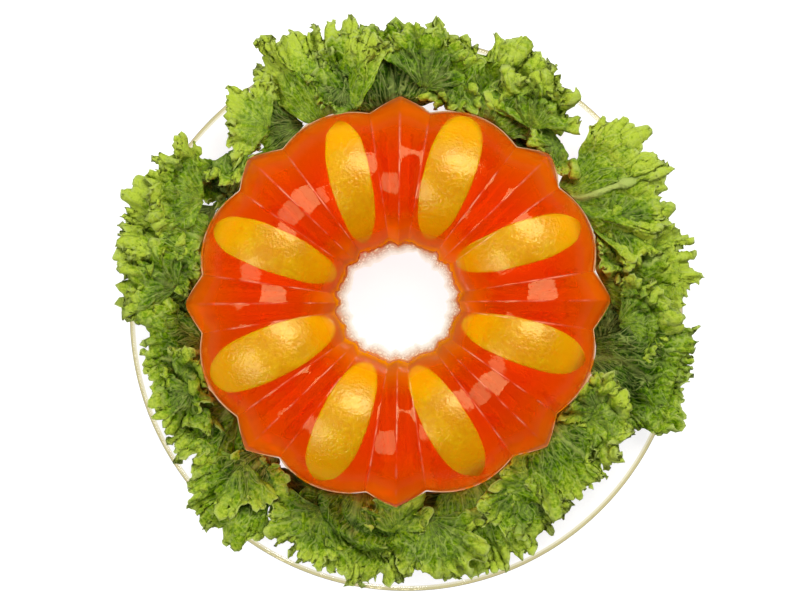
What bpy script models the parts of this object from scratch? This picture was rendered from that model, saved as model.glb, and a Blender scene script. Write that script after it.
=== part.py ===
# Moulded jelly: a fluted ring of orange jelly with eight peach slices set in its lobes,
# on a round clear glass plate with a garnish of curly lettuce leaves.
# Metres, +Z up. The origin is the centre of the plate's flat foot, and +Y is the side
# towards which the ring stands a little off the plate's centre.

import math

import bmesh
import bpy
from mathutils import Matrix, Vector

MM = 0.001
GAP = 0.3 * MM  # clearance between pieces that touch

# Glass plate
PLATE_RADIUS = 142.5 * MM
PLATE_THICKNESS = 4 * MM
PLATE_WELL_RADIUS = 119.5 * MM  # flat inside this
PLATE_FOOT_RADIUS = 114.5 * MM  # flat underneath inside this
PLATE_RIM_RISE = 12 * MM  # rim above the well
LIP_RADIUS = 2 * MM
PLATE_STEPS = 48

# Jelly ring, measured in its notches, where the flutes meet. Heights are above its foot.
RING_CENTRE = Vector((-4.2 * MM, 6.4 * MM, 0))
RING_FOOT_Z = PLATE_THICKNESS + GAP
FOOT_OUTER_RADIUS = 100.5 * MM
FOOT_INNER_RADIUS = 32.5 * MM
OUTER_WALL_TOP = (99.3 * MM, 19 * MM)  # radius, height where the wall bends into the crown
INNER_WALL_TOP = (34 * MM, 20 * MM)
CROWN_TOP = (66 * MM, 56 * MM)
CROWN_STEPS = 4  # faces on each side of the crown
SAG = 0.02  # the ring has sagged a little oval: longer by this share one way, shorter the other
SAG_ANGLE = math.radians(15)  # the way of its length
SAG_FADE = (110 * MM, 130 * MM)  # the leaves round it follow, less and less between these radii

# Flutes: wide round lobes by turns with narrow pointed ridges
FLUTE_PAIRS = 8
LOBE_HALF_ANGLE = math.radians(13.7)
RIDGE_HALF_ANGLE = math.pi / FLUTE_PAIRS - LOBE_HALF_ANGLE
FIRST_LOBE_ANGLE = math.pi / FLUTE_PAIRS
LOBE_HEIGHTS = (4.8 * MM, 2.8 * MM, 1.8 * MM)  # at the outer foot, the crown and the hole
RIDGE_HEIGHTS = (8.6 * MM, 3.2 * MM, 2.2 * MM)
LOBE_FACES = 6
RIDGE_FACES = 4

# Peach slices: wedges of a halved peach, skin side up, each lying along its lobe
PEACH_RADIUS = 31.5 * MM
PEACH_STONE_RADIUS = 13 * MM
PEACH_STONE_SHARE = 0.58  # length of the stone's hollow, against the slice's
PEACH_RINGS = 9
PEACH_SKIN_FACES = 6
PEACH_BLUNT = math.radians(83)  # the ends stop short of a point
POCKET_OPENING = 13 * MM  # how far a pocket runs out past the skin, to be open at the top
# Each slice: length and width in mm, degrees round from its lobe's middle, degrees turned
# from its lobe's line, mm from the ring's centre, mm that its skin lies below the lobe's top
PEACH_SLICES = [
    (62, 24, 3.5, -5, 65.5, 1.3),
    (64, 27, 2.0, 6, 69.0, 1.2),
    (61, 22, -1.5, -10, 66.0, 1.0),
    (65, 24, -1.0, -1, 66.4, 0.6),
    (66, 29, -0.5, 2, 66.6, 0.8),
    (63, 27, -1.0, 0, 66.0, 0.6),
    (62, 24, -1.0, 8, 65.0, 1.0),
    (62, 25, 4.0, 3, 65.0, 1.4),
]

# Lettuce: leaves round the ring, each lying on the edge of the next like roof tiles
LEAF_THICKNESS = 1.2 * MM
LEAF_LIFT = 1.9 * MM  # the middle of a leaf above its bed
BED_RADIUS = 114 * MM  # from here out the leaves lean up in a cone that rests on the plate's lip
LEAF_INNER_RADIUS = 111.5 * MM
LEAF_HALF_SPAN = math.radians(19.5)
LEAF_STALK_SHARE = 0.5  # width at the stalk end, against the widest part
LEAF_STEP_UP = 7 * MM  # height of each leaf above the next one
LEAF_ROUNDING = 7 * MM  # how far the outer edge draws in towards the leaf's sides
LEAF_TEETH = 2 * MM
RUFFLE_WAVES = 32  # round the whole plate
RUFFLE_HEIGHT = 5 * MM
RUFFLE_FULL_RADIUS = 150 * MM
LEAF_COLUMNS = 15
LEAF_ROWS = 4
LEAF_REACHES_MM = [149, 153, 145, 143, 154, 145, 148, 140, 137, 150, 144, 146, 140, 152]


def clear_scene():
    for old in list(bpy.data.objects):
        bpy.data.objects.remove(old, do_unlink=True)


def make_material(name, colour, roughness):
    material = bpy.data.materials.new(name)
    material.use_nodes = True
    shader = material.node_tree.nodes["Principled BSDF"]
    shader.inputs["Base Color"].default_value = (*colour, 1)
    shader.inputs["Roughness"].default_value = roughness
    shader.inputs["Metallic"].default_value = 0
    return material


def add_object(name, mesh, material):
    item = bpy.data.objects.new(name, mesh)
    bpy.context.scene.collection.objects.link(item)
    if material is not None:
        mesh.materials.append(material)
    return item


def shade(mesh, sharp_degrees):
    mesh.shade_smooth()
    mesh.set_sharp_from_angle(angle=math.radians(sharp_degrees))


def mesh_from_rings(name, rings, wrap):
    """Bridge equal closed loops of points into a skin, with its ends capped unless it wraps."""
    work = bmesh.new()
    loops = [[work.verts.new(point) for point in ring] for ring in rings]
    pairs = list(zip(loops, loops[1:]))
    if wrap:
        pairs.append((loops[-1], loops[0]))
    for low, high in pairs:
        for i in range(len(low)):
            j = (i + 1) % len(low)
            work.faces.new((low[i], low[j], high[j], high[i]))
    if not wrap:
        work.faces.new(loops[0])
        work.faces.new(loops[-1])
    bmesh.ops.recalc_face_normals(work, faces=work.faces)
    mesh = bpy.data.meshes.new(name)
    work.to_mesh(mesh)
    work.free()
    return mesh


def sagged(point):
    """Where a point in or round the ring lies once the ring has sagged."""
    away = (point - RING_CENTRE).to_2d()
    near, far = SAG_FADE
    share = SAG * min(max((far - away.length) / (far - near), 0), 1)
    along = Vector((math.cos(SAG_ANGLE), math.sin(SAG_ANGLE)))
    across = Vector((-along.y, along.x))
    shift = share * (away.dot(along) * along - away.dot(across) * across)
    return point + shift.to_3d()


# Glass plate


def plate_top(radius):
    """Height of the glass's upper surface: a flat well, then a rim that curves up."""
    rim_width = PLATE_RADIUS - LIP_RADIUS - PLATE_WELL_RADIUS
    share = min(max((radius - PLATE_WELL_RADIUS) / rim_width, 0), 1)
    return PLATE_THICKNESS + PLATE_RIM_RISE * share**2


def plate_profile():
    """From the middle of the well over the lip and back under the foot."""
    lip_at = PLATE_RADIUS - LIP_RADIUS
    lip_middle = plate_top(lip_at) - LIP_RADIUS
    points = [(0, PLATE_THICKNESS)]
    rim_steps = 4
    for i in range(rim_steps):
        radius = PLATE_WELL_RADIUS + (lip_at - PLATE_WELL_RADIUS) * i / rim_steps
        points.append((radius, plate_top(radius)))
    for i in range(5):
        turn = math.pi / 2 - math.pi * i / 4
        points.append((lip_at + LIP_RADIUS * math.cos(turn), lip_middle + LIP_RADIUS * math.sin(turn)))
    under_rise = lip_middle - LIP_RADIUS
    for i in range(rim_steps - 1, -1, -1):
        share = i / rim_steps
        points.append((PLATE_FOOT_RADIUS + (lip_at - PLATE_FOOT_RADIUS) * share, under_rise * share**2))
    points.append((0, 0))
    return points


def add_plate(material):
    mesh = bpy.data.meshes.new("plate")
    profile = [(x, 0, z) for x, z in plate_profile()]
    mesh.from_pydata(profile, [(i, i + 1) for i in range(len(profile) - 1)], [])
    plate = add_object("plate", mesh, material)
    turn = plate.modifiers.new("turned", "SCREW")
    turn.axis = "Z"
    turn.steps = PLATE_STEPS
    turn.render_steps = PLATE_STEPS
    turn.use_merge_vertices = True
    turn.merge_threshold = 0.00001
    turn.use_smooth_shade = True
    return plate


# Jelly ring


def blend(values, share):
    """Outer foot, crown and hole values, for a share of the way over the ring."""
    outer, crown, hole = values
    if share < 0.5:
        return outer + (crown - outer) * share * 2
    return crown + (hole - crown) * (share * 2 - 1)


def ring_profile():
    """Points over the ring from its outer to its inner foot: radius, height, share, slope.

    The slope is the angle of the way out of the jelly: level at the walls, up at the crown.
    """
    points = [(FOOT_OUTER_RADIUS, 0, 0, 0)]
    sides = [(OUTER_WALL_TOP, 0, 1), (INNER_WALL_TOP, math.pi, -1)]
    for (radius, height), start, turn in sides:
        arc = []
        for i in range(CROWN_STEPS + 1):
            angle = math.pi / 2 * i / CROWN_STEPS
            across = CROWN_TOP[0] + (radius - CROWN_TOP[0]) * math.cos(angle)
            up = height + (CROWN_TOP[1] - height) * math.sin(angle)
            slope = start + turn * angle
            arc.append((across, up, 0.2 + 0.6 * slope / math.pi, slope))
        points += arc if turn > 0 else arc[-2::-1]
    points.append((FOOT_INNER_RADIUS, 0, 1, math.pi))
    return points


def flute_angles():
    """Azimuths round the ring, denser where the flutes curve, and which flute each is on."""
    angles = []
    for pair in range(FLUTE_PAIRS):
        lobe = FIRST_LOBE_ANGLE + 2 * math.pi * pair / FLUTE_PAIRS
        ridge = lobe + math.pi / FLUTE_PAIRS
        for i in range(LOBE_FACES):
            across = -1 + 2 * i / LOBE_FACES
            angles.append((lobe + across * LOBE_HALF_ANGLE, across, LOBE_HEIGHTS))
        for i in range(RIDGE_FACES):
            across = -1 + 2 * i / RIDGE_FACES
            angles.append((ridge + across * RIDGE_HALF_ANGLE, across, RIDGE_HEIGHTS))
    return angles


def flute_height(across, heights, share):
    """Height above the notches: a lobe is a round hump, and a ridge comes to an edge."""
    form = 1 - across**2 if heights is LOBE_HEIGHTS else 1 - abs(across)
    return blend(heights, share) * form


def ring_point(angle, across, heights, station):
    radius, height, share, slope = station
    out = flute_height(across, heights, share)
    radius += out * math.cos(slope)
    height += out * math.sin(slope)
    return sagged(
        RING_CENTRE + Vector((radius * math.cos(angle), radius * math.sin(angle), RING_FOOT_Z + height))
    )


def add_jelly(material, pockets):
    rings = [
        [ring_point(*around, station) for around in flute_angles()]
        for station in ring_profile()
    ]
    mesh = mesh_from_rings("jelly_ring", rings, wrap=True)
    jelly = add_object("jelly_ring", mesh, material)
    for pocket in pockets:
        cut = jelly.modifiers.new(pocket.name, "BOOLEAN")
        cut.operation = "DIFFERENCE"
        cut.solver = "EXACT"
        cut.object = pocket
    shade(mesh, 30)
    return jelly


# Peach slices


def slice_section(along, half_wedge, grow, reach):
    """Cross-section of a slice, along from -1 to 1: the skin's arc, then the stone's side."""
    skin = PEACH_RADIUS * math.sqrt(1 - along**2)
    stone_along = min(abs(along) / PEACH_STONE_SHARE, 1)
    stone = PEACH_STONE_RADIUS * math.sqrt(1 - stone_along**2)
    low = max(stone, 0.25 * skin) - grow
    radius = skin + reach
    edge = half_wedge + math.asin(min(grow / radius, 1))
    points = []
    for i in range(PEACH_SKIN_FACES + 1):
        angle = edge * (2 * i / PEACH_SKIN_FACES - 1)
        points.append((radius * math.sin(angle), radius * math.cos(angle)))
    low_half = low * math.tan(half_wedge) + grow / math.cos(half_wedge)
    return points + [(low_half, low), (-low_half, low)]


def slice_mesh(name, length, width, grow, reach):
    """A slice along X with its peach's middle at the origin, grown for the cutter."""
    half_wedge = math.asin(width / 2 / PEACH_RADIUS)
    rings = []
    for i in range(PEACH_RINGS):
        along = math.sin(PEACH_BLUNT * (2 * i / (PEACH_RINGS - 1) - 1))
        x = along * length / 2
        if i in (0, PEACH_RINGS - 1):
            x += math.copysign(grow, x)
        rings.append([(x, y, z) for y, z in slice_section(along, half_wedge, grow, reach)])
    return mesh_from_rings(name, rings, wrap=False)


def slice_place(index, round_from_lobe, turn, radius, depth):
    lobe = FIRST_LOBE_ANGLE + 2 * math.pi * index / FLUTE_PAIRS
    angle = lobe + round_from_lobe
    up = RING_FOOT_Z + CROWN_TOP[1] + LOBE_HEIGHTS[1] - depth - PEACH_RADIUS
    centre = RING_CENTRE + Vector((radius * math.cos(angle), radius * math.sin(angle), up))
    return Matrix.Translation(centre) @ Matrix.Rotation(lobe + turn, 4, "Z")


def lay_in_ring(mesh, place):
    mesh.transform(place)
    for vertex in mesh.vertices:
        vertex.co = sagged(vertex.co)


def add_peaches(material):
    """Adds the slices, and returns the cutters for the pockets that they lie in."""
    pockets = []
    for index, (length, width, round_from_lobe, turn, radius, depth) in enumerate(PEACH_SLICES):
        place = slice_place(
            index, math.radians(round_from_lobe), math.radians(turn), radius * MM, depth * MM
        )
        name = f"peach_slice_{index + 1}"
        peach = add_object(name, slice_mesh(name, length * MM, width * MM, 0, 0), material)
        lay_in_ring(peach.data, place)
        shade(peach.data, 40)
        name = f"pocket_{index + 1}"
        cutter = slice_mesh(name, length * MM, width * MM, GAP, POCKET_OPENING)
        pocket = add_object(name, cutter, None)
        lay_in_ring(cutter, place)
        pocket.hide_render = True
        pocket.display_type = "WIRE"
        pockets.append(pocket)
    return pockets


# Lettuce


def leaf_bed(radius):
    """Height that the leaves lie on, at a radius from the plate's centre."""
    lip_at = PLATE_RADIUS - LIP_RADIUS
    slope = PLATE_RIM_RISE / (lip_at - BED_RADIUS)
    return PLATE_THICKNESS + slope * max(radius - BED_RADIUS, 0)


def ruffle(radius, angle):
    """Waves that all the leaves share, so that they nest; they grow towards the outer edge."""
    share = (radius - LEAF_INNER_RADIUS) / (RUFFLE_FULL_RADIUS - LEAF_INNER_RADIUS)
    share = min(max(share, 0), 1)
    wave = math.sin(RUFFLE_WAVES * angle) + 0.5 * math.sin(RUFFLE_WAVES * 5 / 8 * angle + 1)
    return RUFFLE_HEIGHT * share * (1.5 + wave) / 1.5


def leaf_point(middle, reach, column, row):
    across = 2 * column / (LEAF_COLUMNS - 1) - 1
    along = row / LEAF_ROWS
    span = LEAF_HALF_SPAN * (LEAF_STALK_SHARE + (1 - LEAF_STALK_SHARE) * math.sin(along * math.pi / 2))
    angle = middle + across * span
    tooth = LEAF_TEETH * (column % 2 * 2 - 1)
    outer = reach - LEAF_ROUNDING * across**2 + tooth
    radius = LEAF_INNER_RADIUS + (outer - LEAF_INNER_RADIUS) * along
    point = sagged(RING_CENTRE + Vector((radius * math.cos(angle), radius * math.sin(angle), 0)))
    side = (angle - middle + LEAF_HALF_SPAN) / (2 * math.pi / len(LEAF_REACHES_MM))
    point.z = leaf_bed(point.length) + LEAF_LIFT + LEAF_STEP_UP * side + ruffle(radius, angle)
    return point


def add_leaf(index, reach, material):
    middle = 2 * math.pi * index / len(LEAF_REACHES_MM)
    work = bmesh.new()
    grid = [
        [work.verts.new(leaf_point(middle, reach, column, row)) for row in range(LEAF_ROWS + 1)]
        for column in range(LEAF_COLUMNS)
    ]
    for left, right in zip(grid, grid[1:]):
        for row in range(LEAF_ROWS):
            work.faces.new((left[row], left[row + 1], right[row + 1], right[row]))
    name = f"lettuce_leaf_{index + 1:02d}"
    mesh = bpy.data.meshes.new(name)
    work.to_mesh(mesh)
    work.free()
    mesh.shade_smooth()
    leaf = add_object(name, mesh, material)
    thicken = leaf.modifiers.new("thickness", "SOLIDIFY")
    thicken.thickness = LEAF_THICKNESS
    thicken.offset = 0


def main():
    clear_scene()
    glass = make_material("clear_glass", (0.86, 0.88, 0.84), 0.03)
    orange_jelly = make_material("orange_jelly", (0.74, 0.035, 0.002), 0.06)
    peach_flesh = make_material("peach_flesh", (0.85, 0.43, 0.03), 0.35)
    lettuce = make_material("curly_lettuce", (0.16, 0.33, 0.03), 0.5)
    add_plate(glass)
    pockets = add_peaches(peach_flesh)
    add_jelly(orange_jelly, pockets)
    for index, reach in enumerate(LEAF_REACHES_MM):
        add_leaf(index, reach * MM, lettuce)


main()
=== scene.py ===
import math

import bpy
import numpy as np
from mathutils import Matrix, Vector


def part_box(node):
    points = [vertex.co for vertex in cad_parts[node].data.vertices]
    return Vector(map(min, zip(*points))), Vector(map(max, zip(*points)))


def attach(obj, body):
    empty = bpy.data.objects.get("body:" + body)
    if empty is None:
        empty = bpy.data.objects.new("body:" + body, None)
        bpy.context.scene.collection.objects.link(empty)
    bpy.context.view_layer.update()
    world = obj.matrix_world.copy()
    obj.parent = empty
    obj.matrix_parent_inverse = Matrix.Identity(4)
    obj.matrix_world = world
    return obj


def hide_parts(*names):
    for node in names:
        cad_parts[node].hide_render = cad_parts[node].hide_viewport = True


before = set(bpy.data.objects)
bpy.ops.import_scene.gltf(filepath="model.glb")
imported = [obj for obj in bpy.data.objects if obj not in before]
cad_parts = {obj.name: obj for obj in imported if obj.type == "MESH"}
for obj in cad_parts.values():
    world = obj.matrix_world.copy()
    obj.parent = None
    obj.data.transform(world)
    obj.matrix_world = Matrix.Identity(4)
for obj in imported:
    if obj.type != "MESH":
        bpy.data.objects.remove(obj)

mm = 0.001
scene = bpy.context.scene
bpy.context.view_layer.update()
plateLow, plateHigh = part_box("plate")
ringLow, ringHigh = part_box("jelly_ring")
plateRadius = (plateHigh.x - plateLow.x) / 2
ringX, ringY = (ringLow.x + ringHigh.x) / 2, (ringLow.y + ringHigh.y) / 2
seat = 0.3 * mm
wellZ = ringLow.z - seat  # glass surface under the jelly
print("frame loaded:", len(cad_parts), "nodes")


# Helpers

def linearColour(hexText):  # sRGB hex to the linear numbers that shaders use
    parts = [int(hexText[i:i + 2], 16) / 255 for i in (1, 3, 5)]
    return [p / 12.92 if p <= 0.04045 else ((p + 0.055) / 1.055) ** 2.4 for p in parts] + [1]


# inputs get an output, a node's first output or a plain value; settings name a property or an input
def addNode(tree, kind, inputs=None, **settings):
    node = tree.nodes.new(kind)
    for name, value in settings.items():
        if hasattr(node, name):
            setattr(node, name, value)
        else:
            node.inputs[name.replace("_", " ")].default_value = value
    for place, value in (inputs or {}).items():
        if isinstance(value, bpy.types.Node):
            value = value.outputs[0]
        if isinstance(value, bpy.types.NodeSocket):
            tree.links.new(value, node.inputs[place])
        else:
            node.inputs[place].default_value = value
    return node


def addObject(name, data):
    item = bpy.data.objects.new(name, data)
    scene.collection.objects.link(item)
    return item


def newMaterial(name):  # a material and its emptied node tree
    material = bpy.data.materials.new(name)
    material.use_nodes = True
    material.node_tree.nodes.clear()
    return material, material.node_tree


def colourSteps(tree, factor, steps):  # a colour ramp from (place, hex) pairs
    ramp = addNode(tree, "ShaderNodeValToRGB", {"Fac": factor})
    band = ramp.color_ramp
    while len(band.elements) < len(steps):
        band.elements.new(0.5)
    for element, (place, hexText) in zip(band.elements, steps):
        element.position = place
        element.color = linearColour(hexText)
    return ramp.outputs["Color"]


# shadows and bounced light cross the surface straight, so what it covers stays lit
def letLampsThrough(tree, shader, tint, mirrored=False):
    rays = addNode(tree, "ShaderNodeLightPath").outputs
    either = addNode(tree, "ShaderNodeMath", {0: rays["Is Shadow Ray"], 1: rays["Is Diffuse Ray"]},
                     operation="MAXIMUM")
    if mirrored:  # and so do reflections
        either = addNode(tree, "ShaderNodeMath", {0: either, 1: rays["Is Glossy Ray"]}, operation="MAXIMUM")
    clear = addNode(tree, "ShaderNodeBsdfTransparent", Color=linearColour(tint))
    return addNode(tree, "ShaderNodeMixShader", {0: either, 1: shader, 2: clear})


def smoothNoise(x, y, seed):  # from -1 to 1, one cell to a unit
    cellX, cellY = np.floor(x), np.floor(y)
    u, v = x - cellX, y - cellY
    u, v = u * u * (3 - 2 * u), v * v * (3 - 2 * v)

    def corner(a, b):
        mixed = np.sin((cellX + a) * 12.9898 + (cellY + b) * 78.233 + seed * 37.719) * 43758.5453
        return (mixed - np.floor(mixed)) * 2 - 1

    low = corner(0, 0) * (1 - u) + corner(1, 0) * u
    high = corner(0, 1) * (1 - u) + corner(1, 1) * u
    return low * (1 - v) + high * v


def cellBumps(x, y, seed):  # 0 at the middle of each uneven cell, growing to its edge
    cellX, cellY = np.floor(x), np.floor(y)
    nearest = np.full(np.shape(x), 9.0)
    for a in (-1, 0, 1):
        for b in (-1, 0, 1):
            toss = [np.sin((cellX + a) * s + (cellY + b) * t + seed * 5.31) * 43758.5453
                    for s, t in ((127.1, 311.7), (269.5, 183.3))]
            spotX, spotY = (toss[0] % 1) * 0.8 + 0.1, (toss[1] % 1) * 0.8 + 0.1
            nearest = np.minimum(nearest, np.hypot(cellX + a + spotX - x, cellY + b + spotY - y))
    return nearest


def ease(value, start, end):
    share = np.clip((value - start) / (end - start), 0, 1)
    return share * share * (3 - 2 * share)


def gridFaces(rows, columns, wrapRows=False, wrapColumns=False):  # quads over a grid of points, row by row
    row = np.arange(rows if wrapRows else rows - 1)[:, None]
    column = np.arange(columns if wrapColumns else columns - 1)[None, :]
    nextRow, nextColumn = (row + 1) % rows, (column + 1) % columns
    corners = [row * columns + column, row * columns + nextColumn,
               nextRow * columns + nextColumn, nextRow * columns + column]
    return np.stack(np.broadcast_arrays(*corners), -1).reshape(-1, 4)


# a smooth-shaded mesh riding on the one body
def makePiece(name, points, faces, material, replaced):
    mesh = bpy.data.meshes.new(name)
    mesh.from_pydata([tuple(p) for p in points], [], [tuple(f) for f in faces])
    mesh.materials.append(material)
    mesh.shade_smooth()
    piece = addObject(name, mesh)
    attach(piece, "root")
    if replaced:
        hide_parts(*replaced)
    return piece


def storeValues(piece, name, values):  # one number to a point, which the materials read by this name
    layer = piece.data.attributes.new(name, "FLOAT", "POINT")
    layer.data.foreach_set("value", np.ravel(values).astype(np.float32))


# Camera, straight above the middle of the ring

view = {"aside": (1.0 * mm, 1.1 * mm), "height": 1.4, "lens": 121}

camera = addObject("camera", bpy.data.cameras.new("camera"))
camera.location = (ringX + view["aside"][0], ringY + view["aside"][1], view["height"])
camera.data.lens = view["lens"]
camera.data.clip_end = 20
scene.camera = camera


# Lights and floor

studio = {
    "keySize": (1.05, 0.8), "keyPlace": (0.4, 0.88, 1.2), "keyPower": 25.5,
    "fillSize": (0.8, 0.75), "fillPlace": (-0.9, -0.42, 1.1), "fillPower": 11.4,
    "aimHeight": 0.03, "skyStrength": 0.24, "skyInGloss": 0.09,
    "tableGlow": 0.98, "tableGlowFades": (0.25, 0.6), "tableInGloss": 0.15,
    "tableHalf": 3.0, "tableZ": -0.2 * mm,
}


def addSoftbox(name, size, place, power):
    light = bpy.data.lights.new(name, "AREA")
    light.shape = "RECTANGLE"
    light.size, light.size_y = size
    light.energy = power
    lamp = addObject(name, light)
    lamp.location = place
    aim = Vector((ringX, ringY, studio["aimHeight"])) - Vector(place)
    lamp.rotation_euler = aim.to_track_quat("-Z", "Y").to_euler()


def addStudio():
    addSoftbox("key_softbox", studio["keySize"], studio["keyPlace"], studio["keyPower"])
    addSoftbox("fill_softbox", studio["fillSize"], studio["fillPlace"], studio["fillPower"])
    world = bpy.data.worlds.new("studio")
    scene.world = world
    world.use_nodes = True
    tree = world.node_tree
    tree.nodes.clear()
    where = addNode(tree, "ShaderNodeTexCoord").outputs["Generated"]
    height = addNode(tree, "ShaderNodeSeparateXYZ", {0: where})
    sky = colourSteps(tree, height.outputs["Z"], [(0, "#2C2A26"), (0.25, "#45423C"), (0.65, "#FFFFFF")])
    rays = addNode(tree, "ShaderNodeLightPath").outputs
    strength = addNode(tree, "ShaderNodeMapRange", {0: rays["Is Glossy Ray"]}, To_Min=studio["skyStrength"],
                       To_Max=studio["skyInGloss"])
    glow = addNode(tree, "ShaderNodeBackground", {"Color": sky, "Strength": strength})
    addNode(tree, "ShaderNodeOutputWorld", {"Surface": glow})
    material, tree = newMaterial("white_light_table")
    where = addNode(tree, "ShaderNodeTexCoord").outputs["Object"]
    away = addNode(tree, "ShaderNodeVectorMath", {0: where}, operation="LENGTH").outputs["Value"]
    glowFrom, glowTo = studio["tableGlowFades"]  # metres from the middle
    fade = addNode(tree, "ShaderNodeMapRange", {0: away}, interpolation_type="SMOOTHSTEP", From_Min=glowFrom,
                   From_Max=glowTo, To_Min=1, To_Max=0)
    glow = addNode(tree, "ShaderNodeMath", {0: fade, 1: studio["tableGlow"]}, operation="MULTIPLY")
    # painted reflection: rays that reflect and cross at most the plate see a dark card in place of the
    # glowing table
    rays = addNode(tree, "ShaderNodeLightPath").outputs
    bounced = addNode(tree, "ShaderNodeMath", {0: rays["Glossy Depth"]}, operation="GREATER_THAN")
    shallow = addNode(tree, "ShaderNodeMath", {0: rays["Transmission Depth"], 1: 2.5},
                      operation="LESS_THAN")  # at most in and out of the plate
    mirrored = addNode(tree, "ShaderNodeMath", {0: bounced, 1: shallow}, operation="MULTIPLY")
    dark = addNode(tree, "ShaderNodeMapRange", {0: mirrored}, To_Min=0, To_Max=1 - studio["tableInGloss"])
    top = colourSteps(tree, fade, [(0, "#C4C4C2"), (1, "#8C8C8A")])
    surface = addNode(tree, "ShaderNodeBsdfPrincipled", {"Base Color": top, "Emission Strength": glow},
                      Roughness=0.6, Emission_Color=linearColour("#FFFFFF"))
    darkInReflections = addNode(tree, "ShaderNodeBsdfDiffuse", Color=linearColour("#1C1A18"))
    seen = addNode(tree, "ShaderNodeMixShader", {0: dark, 1: surface, 2: darkInReflections})
    addNode(tree, "ShaderNodeOutputMaterial", {"Surface": seen})
    floor = bpy.data.meshes.new("table_top")
    half, low = studio["tableHalf"], studio["tableZ"]
    corners = [(-half, -half, low), (half, -half, low), (half, half, low), (-half, half, low)]
    floor.from_pydata(corners, [], [(0, 1, 2, 3)])
    floor.materials.append(material)
    table = addObject("table_top", floor)
    scene.view_settings.view_transform = "Standard"


addStudio()
print("studio ready")


# Glass plate: a profile turned about the upright axis

plate = {
    "thickness": 4 * mm, "wellRadius": 119.5 * mm, "footRadius": 114.5 * mm, "rimRise": 12 * mm,
    "lip": 2 * mm, "hub": 8 * mm, "around": 256, "flatSteps": 12, "rimSteps": 18, "lipSteps": 15,
    "ior": 1.5, "flat": "#FAF9FB", "rimTintAndReflection": "#CCC294", "rolledFrom": 0.4 * mm,  # glass and lip tints
    "tint": "#E8E2C0", "tintDensity": 12, "shade": "#F8F8F2",  # its bulk, and light that crosses it straight
}


def plateTop(radius):  # a flat well, then a rim that curves up
    lipAt = plateRadius - plate["lip"]
    out = np.clip((radius - plate["wellRadius"]) / (lipAt - plate["wellRadius"]), 0, 1)
    return plate["thickness"] + plate["rimRise"] * out ** 2


def makeGlass():  # polished soda-lime glass: clear, with a faint straw tint that is deeper on the rolled rim, partly as a painted darker reflection there
    material, tree = newMaterial("polished_soda_lime_glass")
    where = addNode(tree, "ShaderNodeTexCoord").outputs["Object"]
    waver = addNode(tree, "ShaderNodeTexNoise", {"Vector": where}, Scale=1 / (60 * mm), Detail=1)
    bump = addNode(tree, "ShaderNodeBump", {"Height": waver}, Strength=0.15, Distance=0.5 * mm)
    lip = addNode(tree, "ShaderNodeAttribute", attribute_name="lip").outputs["Fac"]
    # the rolled lip's cream-tan tint is partly the thick glass's own colour and partly a painted reflection
    tone = colourSteps(tree, lip, [(0, plate["flat"]), (1, plate["rimTintAndReflection"])])
    glass = addNode(tree, "ShaderNodeBsdfPrincipled", {"Normal": bump, "Base Color": tone},
                    Roughness=0.0, IOR=plate["ior"], Transmission_Weight=1)
    surface = letLampsThrough(tree, glass, plate["shade"])
    tint = addNode(tree, "ShaderNodeVolumeAbsorption", Color=linearColour(plate["tint"]),
                   Density=plate["tintDensity"])
    addNode(tree, "ShaderNodeOutputMaterial", {"Surface": surface, "Volume": tint})
    return material


def makePlate():
    lipAt = plateRadius - plate["lip"]
    lipMiddle = float(plateTop(lipAt)) - plate["lip"]
    flats = np.linspace(plate["hub"], plate["wellRadius"], plate["flatSteps"])
    profile = [(r, plate["thickness"]) for r in flats]
    rims = np.linspace(plate["wellRadius"], lipAt, plate["rimSteps"] + 1)[1:-1]
    profile += [(r, float(plateTop(r))) for r in rims]
    for turn in np.linspace(math.pi / 2, -math.pi / 2, plate["lipSteps"]):
        profile.append((lipAt + plate["lip"] * math.cos(turn), lipMiddle + plate["lip"] * math.sin(turn)))
    under = np.linspace(1, 0, plate["rimSteps"] + 1)[1:]
    rise = lipMiddle - plate["lip"]
    profile += [(plate["footRadius"] + (lipAt - plate["footRadius"]) * s, rise * s ** 2) for s in under]
    profile += [(r, 0) for r in np.linspace(plate["footRadius"], plate["hub"], plate["flatSteps"])[1:]]
    turn = np.linspace(0, 2 * math.pi, plate["around"], endpoint=False)
    rows = [np.stack([r * np.cos(turn), r * np.sin(turn), np.full_like(turn, z)], -1) for r, z in profile]
    points = np.concatenate(rows + [np.array([[0, 0, plate["thickness"]], [0, 0, 0]])])
    faces = [tuple(f[::-1]) for f in gridFaces(len(profile), plate["around"], wrapColumns=True)]
    last, top, bottom = (len(profile) - 1) * plate["around"], len(points) - 2, len(points) - 1
    for i in range(plate["around"]):
        j = (i + 1) % plate["around"]
        faces += [(top, i, j), (bottom, last + j, last + i)]
    piece = makePiece("glass_plate", points, faces, makeGlass(), ["plate"])
    storeValues(piece, "lip", ease(np.hypot(points[:, 0], points[:, 1]), lipAt, lipAt + plate["rolledFrom"]))


makePlate()
print("plate ready")


# Jelly ring

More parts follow.
